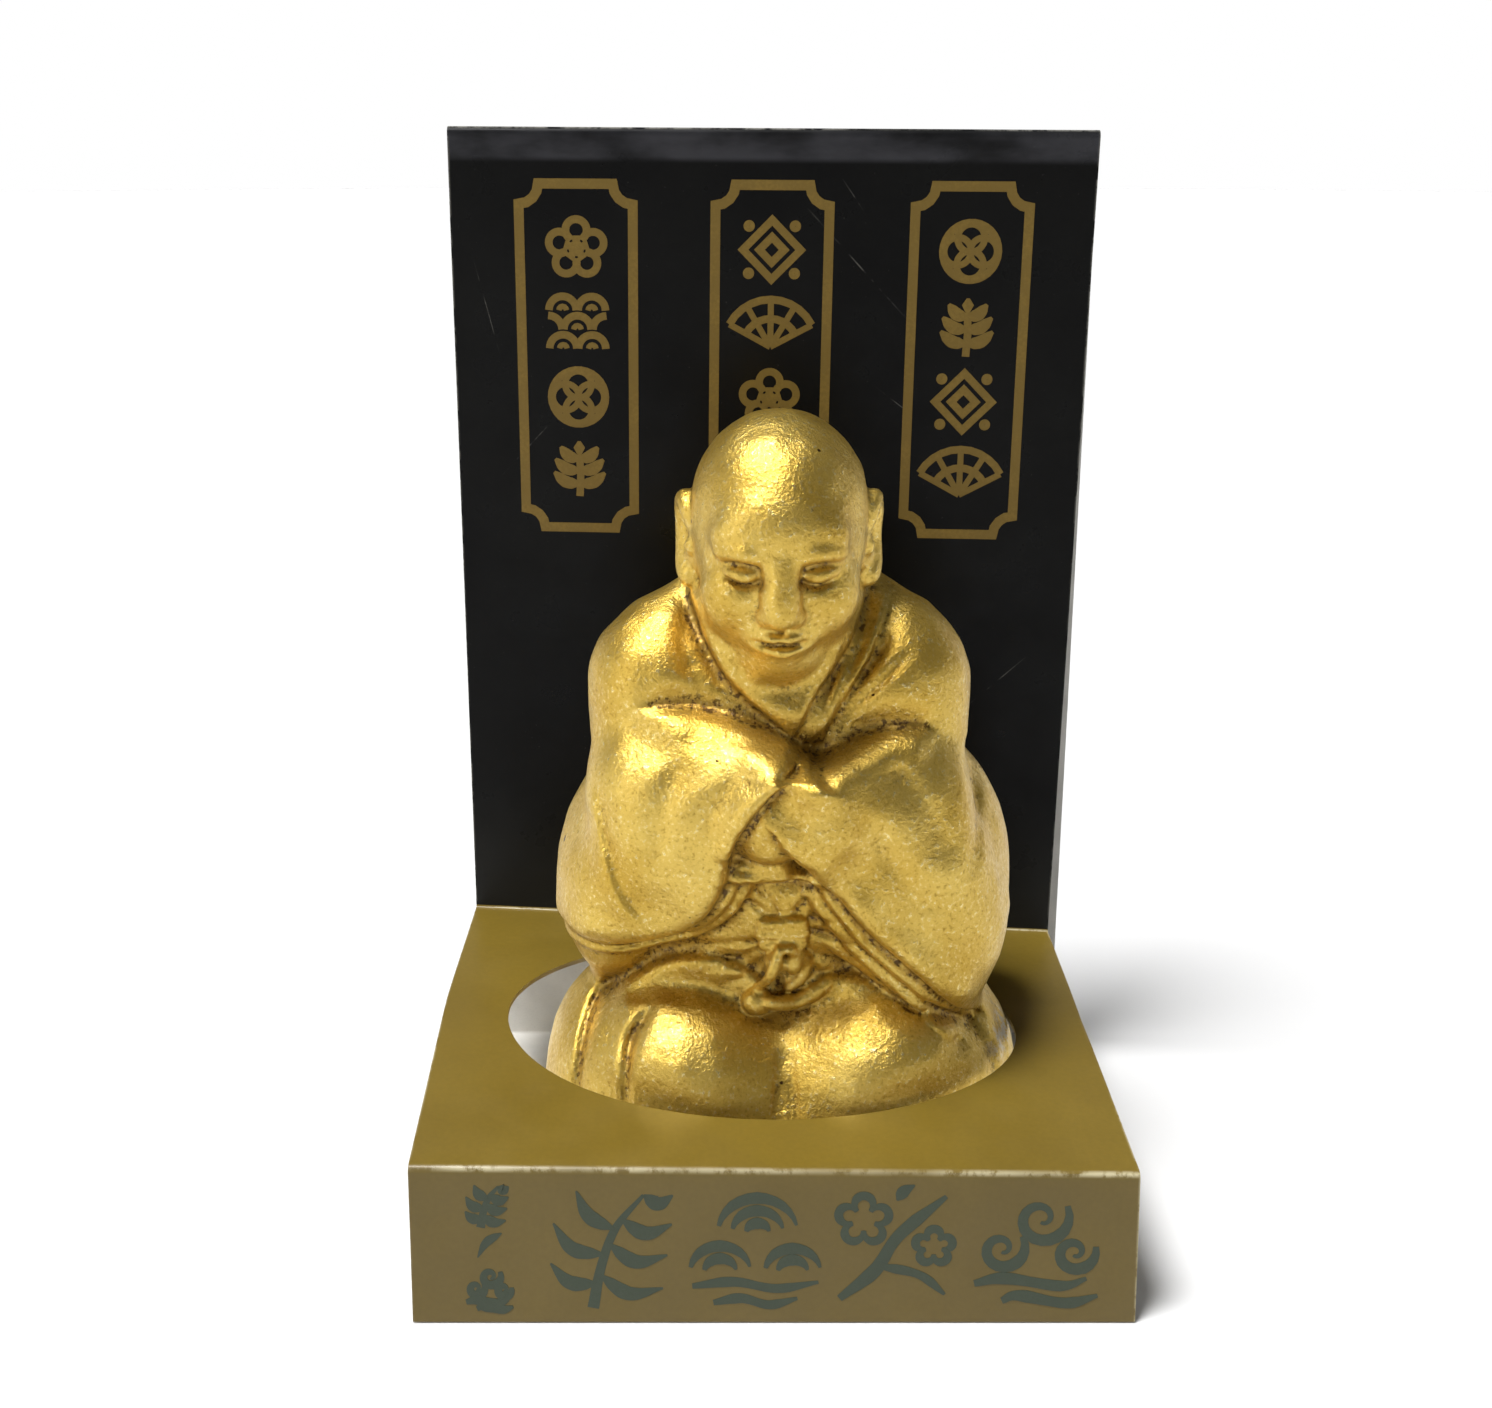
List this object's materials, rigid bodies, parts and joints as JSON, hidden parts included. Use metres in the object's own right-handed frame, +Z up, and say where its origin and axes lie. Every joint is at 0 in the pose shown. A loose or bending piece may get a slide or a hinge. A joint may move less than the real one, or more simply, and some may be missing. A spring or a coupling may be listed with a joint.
{
  "type": "display figurine in folded stand",
  "caption": "Small cast figurine of a seated robed figure with folded arms, lifting out of the oval opening of a folded board stand with a tall backboard.",
  "frame": {"origin": "centre of the stand's footprint, on the table", "axes": "+Z up, +Y from the front panel to the backboard, +X to the right as seen from the front"},
  "size_m": [0.062, 0.0516, 0.0977],
  "materials": {
    "board_plain": "matte",
    "board_khaki": "satin",
    "board_black": "gloss",
    "gold_plaster": "satin"
  },
  "bodies": {
    "floor": {"floor_panel": "board_plain"},
    "front": {"front_panel": "board_khaki", "glue_flap": "board_plain"},
    "deck": {"deck_front_panel": "board_khaki", "deck_rear_panel": "board_khaki"},
    "back": {"backboard_panel": "board_black", "top_fold": "board_black", "rear_panel": "board_black"},
    "figure": {"figurine": "gold_plaster"}
  },
  "joints": [
    {"name": "rear_crease", "type": "hinge", "parent": "floor", "child": "back", "pos_m": [0, 0.02558, 0.00022], "axis": [1, 0, 0], "range_deg": [-2.2, 2.2], "stiffness_Nm_per_rad": 0.03},
    {"name": "front_crease", "type": "hinge", "parent": "floor", "child": "front", "pos_m": [0, -0.02508, 0.00022], "axis": [1, 0, 0], "range_deg": [-2.8, 2.8]},
    {"name": "deck_crease", "type": "hinge", "parent": "front", "child": "deck", "pos_m": [0, -0.02366, 0.01362], "axis": [1, 0, 0], "range_deg": [-3.1, 3.1]},
    {"name": "figurine_lift", "type": "slide", "parent": "floor", "child": "figure", "axis": [0, 0, 1], "range_m": [0, 0.09]}
  ],
  "couplings": [
    {"joint": "front_crease", "follows": "rear_crease", "ratio": 1.1714},
    {"joint": "deck_crease", "follows": "rear_crease", "ratio": -1.274}
  ]
}
